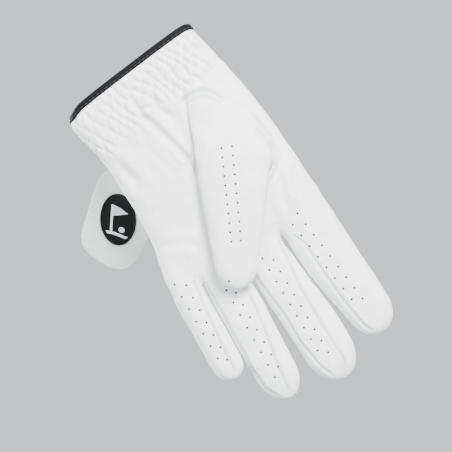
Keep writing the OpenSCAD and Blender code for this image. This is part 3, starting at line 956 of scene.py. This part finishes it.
def on_tab(q, p, z):
    """Tab axes (q from its bend to its free end, p across it, z off its face) to the row frame, mm."""
    q, p, z = (np.asarray(a, float) for a in (q, p, z))
    free = TAB + np.outer(q, TQ) + np.outer(p, TP) + np.outer(z - curl(q, p), TN)
    sink = np.where(q < 0, -.12 * np.minimum(-q, 3), 0)
    sewn = TAB + np.outer(-q, TE) + np.outer(p, TP) + np.outer(z + sink, HN)
    w = smooth(-TAB_BEND, TAB_BEND, q)[:, None]
    return free * w + sewn * (1 - w)


TAB_EDGE = [(1, 14.2), (12.1, 17.2), (24.6, 16.1), (37.5, 13.1), (48.5, 10.6), (57, 6.4), (60.2, 1.5),
            (61.3, -7), (60.6, -16), (57.5, -22.5), (52.4, -26), (44.3, -26.9), (33.9, -26.1), (24, -24.4),
            (14, -20), (6, -15.4), (1, -13.2), (-3.8, -12.6), (-4.8, -11), (-4.8, 0), (-4.8, 12),
            (-3.8, 13.7)]
TAB_FACE, TAB_MIDDLE = -1.5, -.62                         # its outer face, and where leather meets lining
tab_edge = ccw(spline(TAB_EDGE, 1.1))
tab_skin = solid("tab_skin", [plate(tab_edge, TAB_FACE, TAB_MIDDLE, on_tab)])
tab_under = solid("tab_under", [plate(inset(tab_edge, .7), TAB_MIDDLE, 0, on_tab)])
tab_threads = []
for name, z, way in (("tab_thread_front", TAB_FACE, -1), ("tab_thread_back", 0, 1)):
    line = inset(tab_edge, 2.0)
    seat = on_tab(*level(line, z + .04 * way))
    over = on_tab(*level(line, z + 1.0 * way)) - seat
    tab_threads.append(solid(name, stitch_row(seat, over, 2.5, 1.85, .17)))

HOOK_W, HOOK_H, HOOK_Q, HOOK_P = 26, 24, 31, -6


def on_hooks(q, p, z):
    return on_tab(q + HOOK_Q, p + HOOK_P, z)


pad_edge = rounded_rect(HOOK_W, HOOK_H, PAD_CORNER)
hook_base = solid("hook_base", [plate(pad_edge, -.02, .34, on_hooks, 2)])
hook_field = solid("hook_field", [
    arc_thread(x, y, .5 * k + (0 if i % 2 else math.pi), .3, .5, 4, 2.4,
               lambda q, p, z: on_hooks(q, p, z + .3))
    for i, (x, y, k) in enumerate(scatter(HOOK_W - 1, HOOK_H - 1, 1.25, 5))])
hook_line = on_hooks(*level(inset(ccw(pad_edge), 1.0), .36))
hook_thread = solid("hook_thread", stitch_row(hook_line, TN, *BOX_STITCH))

# the reinforcement that holds the tab's root, with its box of stitches
anchor_edge = ccw(rounded_rect(6.2, 24, 1.5))
anchor_pad = solid("anchor_pad", [plate(anchor_edge, -2.3, -1.45,
                                        lambda q, p, z: on_tab(q - 2.7, p + .5, z))])
box_path = ccw(rounded_rect(3.2, 21.5, .4)) + np.array([-2.6, .6])
anchor_thread = solid("anchor_thread", stitch_row(on_tab(*level(box_path, .06)), (0, 1, 0), *BOX_STITCH))

# -------- the oval badge
BA, BB, BTURN = 17.0, 11.4, math.radians(155)      # half its length, half its width, its turn on the tab
BQ, BP = 29, -5                                    # its middle on the tab
BADGE_SIDES = 96


def on_badge(a, b, h):
    """Badge axes (a along the oval, b across it, h above the leather) to the row frame."""
    a, b, h = (np.asarray(v, float) for v in (a, b, h))
    q, p = BQ + a * math.cos(BTURN) - b * math.sin(BTURN), BP + a * math.sin(BTURN) + b * math.cos(BTURN)
    return on_tab(q, p, -1.42 - h + (curl(q, p) - curl(float(BQ), float(BP))) * .75)


def dome(k):
    return 1.15 + .85 * (1 - k * k)


def oval_rings(profile):
    """Rings of the oval: (part of the full size, height) pairs."""
    t = turn(BADGE_SIDES)
    k, h = (np.repeat(c, BADGE_SIDES) for c in np.array(profile).T)
    t = np.tile(t, len(profile))
    return on_badge(BA * k * np.cos(t), BB * k * np.sin(t), h)


body = [(.97, -.1), (.99, .25), (.985, .9)] + [(k, dome(k)) for k in np.linspace(.93, .04, 22)]
body_faces = [f[::-1] for f in tube_ring_faces(len(body), BADGE_SIDES, True)]
badge_body = solid("badge_body", [(oval_rings(body), body_faces)])
rim = [(.955 + .043 * math.cos(a), 1.25 + .62 * math.sin(a)) for a in turn(14)]
rim_faces = tube_ring_faces(len(rim), BADGE_SIDES) + ring_pairs(BADGE_SIDES, (len(rim) - 1) * BADGE_SIDES, 0)
badge_ring = solid("badge_ring", [(oval_rings(rim), rim_faces)])


def motif_plate(outline):
    """A thin raised shape on the badge; x runs across the oval and y along it."""
    def place(x, y, h):
        return on_badge(y, x, dome(np.hypot(y / BA, x / BB)) + h)
    return plate(even(ccw(np.array(outline, float)), .55, least=12), -.15, .28, place, .9, 2)


# a plain pennant on its pole, a ball and the rising ground under them
MOTIF = [[(-4.4, -8.2), (-2.9, -8.2), (-2.9, 9.6), (-4.4, 9.6)],
         [(-2.9, 9.6), (1.2, 8.5), (6.4, 5.7), (1.4, 3.9), (-2.9, 2.6)],
         [(3.0 + 1.9 * math.cos(a), -5.6 + 1.9 * math.sin(a)) for a in turn(28)],
         [(-7.2, -8.4), (-2.5, -8.0), (2, -8.6), (7.2, -9.9), (5.6, -11.4), (1.6, -10.4), (-2.5, -9.9),
          (-6, -10.2)]]
badge_mark = solid("badge_mark", [motif_plate(m) for m in MOTIF])


# -------- materials
class Nodes:
    """A material's node tree, with short calls to add and join nodes."""

    def __init__(self, name):
        self.mat = bpy.data.materials.new(name)
        self.mat.use_nodes = True
        self.tree = self.mat.node_tree
        self.bsdf = self.tree.nodes["Principled BSDF"]

    def add(self, kind, inputs=(), **props):
        n = self.tree.nodes.new("ShaderNode" + kind)
        for k, v in props.items():
            setattr(n, k, v)
        for k, v in dict(inputs).items():
            self.put(n.inputs[k], v)
        return n

    def put(self, socket, v):
        if isinstance(v, bpy.types.NodeSocket):
            self.tree.links.new(v, socket)
        else:
            socket.default_value = v

    def math(self, op, a, b=0.0):
        return self.add("Math", {0: a, 1: b}, operation=op).outputs[0]

    def mix(self, f, a, b):
        return self.add("Mix", {0: f, 6: a, 7: b}, data_type="RGBA").outputs[2]

    def span(self, v, a, b, c=0.0, d=1.0):
        return self.add("MapRange", {0: v, 1: a, 2: b, 3: c, 4: d}).outputs[0]

    def place(self, scale=(1, 1, 1)):
        co = self.add("TexCoord").outputs["Object"]
        return self.add("Mapping", {"Vector": co, "Scale": scale}).outputs[0]

    def noise(self, scale, detail=3.0, rough=.55, at=None, distort=0.0):
        return self.add("TexNoise", {"Vector": at or self.place(), "Scale": scale, "Detail": detail,
                                     "Roughness": rough, "Distortion": distort}).outputs[0]

    def cells(self, scale, at=None):
        return self.add("TexVoronoi", {"Vector": at or self.place(), "Scale": scale}).outputs["Distance"]

    def bump(self, height, depth, strength=1.0, under=None):
        i = {"Height": height, "Distance": depth, "Strength": strength}
        if under is not None:
            i["Normal"] = under
        return self.add("Bump", i).outputs[0]

    def finish(self, **sockets):
        for k, v in sockets.items():
            self.put(self.bsdf.inputs[k.replace("_", " ")], v)
        return self.mat


def leather(name, light, dark, pore_tint_and_groove_shade, rough=.56):
    m = Nodes(name)
    at = m.place()
    tone = m.span(m.noise(38, 4, .6, at), .3, .7)
    mottle = m.span(m.noise(210, 3, .6, at), .35, .65)
    colour = m.mix(m.math("MULTIPLY", tone, .8), light, dark)
    colour = m.mix(m.math("MULTIPLY", mottle, .16), colour, dark)
    grain = m.cells(1150, at)
    pores = m.span(m.cells(620, at), .0, .22, 1.0, 0.0)
    colour = m.mix(m.math("MULTIPLY", pores, .10), colour, pore_tint_and_groove_shade)
    # painted shade: the "seam" attribute darkens the colour along seams and folds
    seam = m.add("Attribute", attribute_name="seam").outputs["Fac"]
    colour = m.mix(m.math("MULTIPLY", seam, .62), colour, pore_tint_and_groove_shade)
    wrinkle = m.noise(150, 5, .62, m.place((1.15, 1, .7)), .9)
    fine = m.noise(420, 3, .5, m.place((1.3, 1, .8)), 1.4)
    n1 = m.bump(m.span(wrinkle, .3, .7), .00042, .55)
    n2 = m.bump(m.span(fine, .3, .7), .00013, .55, n1)
    n3 = m.bump(grain, .00007, .5, n2)
    r = m.span(m.noise(300, 3, .6, at), .3, .7, rough - .06, rough + .08)
    return m.finish(Base_Color=colour, Roughness=r, Normal=n3, Sheen_Weight=.12, Sheen_Roughness=.45,
                    Specular_IOR_Level=.38)


def weave_tape(name, a, b, attribute="weave", rough=.7, sheen=.25, gloss=.25):
    """A ribbed textile: fine ribs along one direction crossed by threads."""
    m = Nodes(name)
    if attribute:
        v = m.add("Attribute", attribute_name=attribute).outputs["Vector"]
    else:
        v = m.place((1000, 1000, 1000))
    xyz = m.add("SeparateXYZ", {0: v}).outputs
    ribs = m.math("SINE", m.math("MULTIPLY", xyz[0], 2 * math.pi / .62))
    threads = m.math("SINE", m.math("MULTIPLY", xyz[1 if attribute else 2], 2 * math.pi / .78))
    h = m.span(m.math("MULTIPLY", ribs, threads), -1.0, 1.0)
    fuzz = m.noise(900, 3, .6)
    # painted shade: the colour is darker where the weave is low, following its bump
    colour = m.mix(m.math("MULTIPLY", h, m.span(fuzz, .3, .7, .4, 1.0)), a, b)
    n1 = m.bump(h, .00016, .7)
    n2 = m.bump(fuzz, .00006, .5, n1)
    return m.finish(Base_Color=colour, Roughness=m.span(fuzz, .3, .7, rough - .08, rough + .1), Normal=n2,
                    Sheen_Weight=sheen, Sheen_Roughness=.4, Specular_IOR_Level=gloss)


def thread(name, a, b):
    m = Nodes(name)
    ply = m.add("TexWave", {"Vector": m.place(), "Scale": 900, "Distortion": 2.0, "Detail": 1.0},
                bands_direction="DIAGONAL").outputs["Fac"]
    fuzz = m.noise(2400, 2)
    # painted shade: the colour is darker in the ply's grooves, following its bump
    return m.finish(Base_Color=m.mix(ply, a, b), Roughness=m.span(fuzz, .3, .7, .5, .7),
                    Normal=m.bump(ply, .00006, .6), Sheen_Weight=.2, Sheen_Roughness=.4)


def pile(name, a, b, scale=800, rough=.85):
    m = Nodes(name)
    cells = m.cells(scale)
    fuzz = m.noise(1500, 3)
    # painted shade: the colour is darker in the pile's hollows, following the cells of its bump
    colour = m.mix(m.span(cells, .1, .7), a, b)
    colour = m.mix(m.math("MULTIPLY", m.span(m.noise(90, 3), .35, .65), .35), colour, a)
    relief = m.bump(cells, .0002, .6, m.bump(fuzz, .0001, .5))
    return m.finish(Base_Color=colour, Roughness=m.span(fuzz, .3, .7, rough - .1, rough), Normal=relief,
                    Sheen_Weight=.3, Sheen_Roughness=.5)


def moulded(name, colour, light, rough=.33, texture=2600, gloss=.5, coat=.15):
    m = Nodes(name)
    fleck = m.noise(texture, 3, .6)
    cloud = m.span(m.noise(120, 4), .3, .7)
    base = m.mix(m.math("MULTIPLY", cloud, .5), colour, light)
    shine = m.math("ADD", m.span(cloud, 0.0, 1.0, rough - .05, rough + .07), m.span(fleck, .3, .7, 0, .05))
    return m.finish(Base_Color=base, Roughness=shine, Normal=m.bump(fleck, .00002, .5), Coat_Weight=coat,
                    Coat_Roughness=.25, Specular_IOR_Level=gloss)


# the third colour of each leather tints its pores and is the painted shade of its grooves
WHITE = leather("glove_leather", (.87, .885, .89, 1), (.79, .81, .82, 1), (.36, .385, .40, 1))
INNER = leather("leather_flesh_side", (.62, .62, .60, 1), (.50, .50, .485, 1), (.3, .3, .3, 1), .85)
# painted shade: the tab and its anchor get the glove's white leather painted darker and greener, as for the
# turned-away tab
TAB_SHADED_LEATHER = leather("tab_leather", (.76, .80, .785, 1), (.68, .72, .71, 1), (.34, .36, .36, 1), .52)
TABU = leather("tab_lining_leather", (.66, .67, .66, 1), (.56, .57, .565, 1), (.32, .33, .33, 1), .7)
HOLE = moulded("hole_shade", (.03, .034, .038, 1), (.07, .074, .08, 1), .85, 1500, gloss=.15, coat=0)
BIND = weave_tape("binding_tape", (.002, .0022, .003, 1), (.011, .0115, .0145, 1), sheen=.01, gloss=.08)
THREAD_DARK = thread("dark_thread", (.004, .0045, .006, 1), (.014, .015, .018, 1))
THREAD_PALE = thread("pale_thread", (.55, .57, .57, 1), (.72, .74, .74, 1))
ELASTIC = weave_tape("knitted_elastic", (.30, .305, .31, 1), (.52, .53, .535, 1), attribute=None)
LABEL = weave_tape("label_satin", (.62, .63, .64, 1), (.78, .79, .80, 1), attribute=None, rough=.5)
PILE = pile("loop_pile", (.10, .104, .11, 1), (.22, .225, .235, 1))
PILE_BASE = pile("loop_backing", (.05, .052, .056, 1), (.11, .113, .12, 1), 1300)
HOOKS = moulded("hook_nylon", (.11, .115, .12, 1), (.2, .205, .215, 1), .4)
BLACK = moulded("badge_rubber", (.0012, .0012, .0015, 1), (.003, .003, .0035, 1), .42, gloss=.2, coat=.05)
MARK = moulded("badge_print", (.66, .67, .68, 1), (.78, .79, .80, 1), .45)


# -------- what each piece is made of, stands for and follows
def set_piece(ob, mat, slot, body=None, replaces=()):
    ob.data.materials.clear()
    ob.data.materials.append(mat)
    if body:
        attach(ob, body)
    if replaces:
        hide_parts(*replaces)


def bend_finger(ob, n):
    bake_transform(ob)


def bend_thumb(ob):
    start, end = (tuple(row(thumb_point(s, 0, -17))) for s in (9, 33))
    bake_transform(ob)


set_piece(pieces["palm_leather"], WHITE, "leather", "hand", [
    "palm_panel", "fourchette_index_middle", "fourchette_middle_ring", "fourchette_ring_little",
    *(f"{n}_root_front" for n in ORDER)])
set_piece(pieces["back_leather"], WHITE, "leather", "hand", [
    "back_panel", *(f"{n}_root_back" for n in ORDER)])
set_piece(pieces["thumb_swell_leather"], WHITE, "leather", "hand", ["thumb_mound"])
for k in ("front", "back"):
    set_piece(pieces[f"thumb_{k}_leather"], WHITE, "leather", None, [f"thumb_{k}"])
    bend_thumb(pieces[f"thumb_{k}_leather"])
for n in ORDER:
    for k in ("front", "back", "side"):
        cad = f"{n}_sides" if k == "side" and n in ("middle", "ring") else f"{n}_{k}"
        set_piece(pieces[f"{n}_{k}_leather"], WHITE, "leather", None, [cad])
        bend_finger(pieces[f"{n}_{k}_leather"], n)
for n, ob in perforations.items():
    set_piece(ob, HOLE, "leather")
    if n == "thumb":
        bend_thumb(ob)
    else:
        bend_finger(ob, n)
for ob, mat, slot, body, *cad in (
        (lining, INNER, "leather", "hand"),
        (cuff_tape, BIND, "binding", "hand", "cuff_binding"),
        (slit_tape, BIND, "binding", "hand", "slit_binding"),
        (binding_thread, THREAD_DARK, "binding", "hand"),
        (elastic_band, ELASTIC, "elastic", "hand", "wrist_elastic"),
        (label_cloth, LABEL, "label", "hand", "size_label"),
        (label_thread, THREAD_PALE, "label", "hand"),
        (patch_base, PILE_BASE, "loop", "hand", "loop_patch"),
        (patch_pile, PILE, "loop", "hand"),
        (patch_thread, THREAD_DARK, "loop", "hand"),
        (anchor_pad, TAB_SHADED_LEATHER, "tab_leather", "hand", "tab_anchor"),
        (anchor_thread, THREAD_PALE, "tab_leather", "hand"),
        (tab_skin, TAB_SHADED_LEATHER, "tab_leather", None, "closure_tab"),
        (tab_under, TABU, "tab_lining", None, "tab_lining"),
        (tab_threads[0], THREAD_PALE, "tab_leather", None),
        (tab_threads[1], THREAD_PALE, "tab_lining", None),
        (hook_base, HOOKS, "hook", "tab", "hook_pad"),
        (hook_field, HOOKS, "hook", "tab"),
        (hook_thread, THREAD_DARK, "hook", "tab"),
        (badge_body, BLACK, "badge_black", "tab", "badge_plate"),
        (badge_ring, BLACK, "badge_black", "tab", "badge_rim"),
        (badge_mark, MARK, "badge_white", "tab", "badge_motif")):
    set_piece(ob, mat, slot, body, cad)
    if body is None:
        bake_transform(ob)


# -------- floor, light and camera
# the picture's axes
RIGHT, UP, OUT = Vector((.848, 0, -.53)), Vector((.53, 0, .848)), Vector((0, -1, 0))
AIM = Vector((0, 0, -.06))
CAMERA_FAR = .62


def ground():
    disc = bmesh.new()
    bmesh.ops.create_circle(disc, cap_ends=True, segments=128, radius=1.1)
    me = bpy.data.meshes.new("floor")
    disc.to_mesh(me)
    disc.free()
    ob = add_object("floor", me)
    ob.location.z = -.6
    m = Nodes("floor_paint")
    tone = m.span(m.noise(1.5, 3), .3, .7)
    colour = m.mix(tone, (.21, .215, .22, 1), (.235, .24, .245, 1))
    me.materials.append(m.finish(Base_Color=colour, Roughness=.8))


def area(name, at, size, power, colour):
    d = bpy.data.lights.new(name, "AREA")
    d.shape, d.size, d.energy, d.color = "DISK", size, power, colour
    turned = (at - AIM).to_track_quat("Z", "Y").to_matrix().to_4x4()
    add_object(name, d).matrix_world = Matrix.Translation(at) @ turned


def from_picture(right, up, out, far):
    return AIM + (RIGHT * right + UP * up + OUT * out).normalized() * far


def studio():
    """A world that is bright near the horizon and darker above and below."""
    world = bpy.data.worlds.new("studio")
    bpy.context.scene.world = world
    world.use_nodes = True
    tree = world.node_tree
    kinds = ("TexCoord", "SeparateXYZ", "Math", "ValToRGB")
    co, xyz, away, ramp = (tree.nodes.new("ShaderNode" + k) for k in kinds)
    away.operation = "ABSOLUTE"
    ramp.color_ramp.interpolation = "EASE"
    low, high = ramp.color_ramp.elements
    low.position, low.color = .34, (.95, .97, 1, 1)
    high.position, high.color = .8, (.22, .225, .235, 1)
    tree.links.new(co.outputs["Generated"], xyz.inputs[0])
    tree.links.new(xyz.outputs[2], away.inputs[0])
    tree.links.new(away.outputs[0], ramp.inputs[0])
    tree.links.new(ramp.outputs[0], tree.nodes["Background"].inputs[0])
    tree.nodes["Background"].inputs[1].default_value = 1.0


def camera():
    lens = bpy.data.cameras.new("camera")
    lens.lens = 85
    ob = add_object("camera", lens)
    axes = Matrix((RIGHT, UP, OUT)).transposed().to_4x4()
    axes.translation = AIM + OUT * CAMERA_FAR
    ob.matrix_world = axes
    bpy.context.scene.camera = ob


ground()
area("key", from_picture(.34, .85, 1, 1.6), .75, 112, (1, .985, .97))
area("front_fill", from_picture(-.5, .1, 1, 1.9), 1.4, 32, (.96, .98, 1))
area("back_key", AIM + Vector((-1.35, .75, .75)), .6, 78, (1, .99, .98))
area("back_fill", AIM + Vector((1.1, 1.4, .3)), 1.2, 14, (.97, .985, 1))
studio()
camera()
bpy.context.view_layer.update()
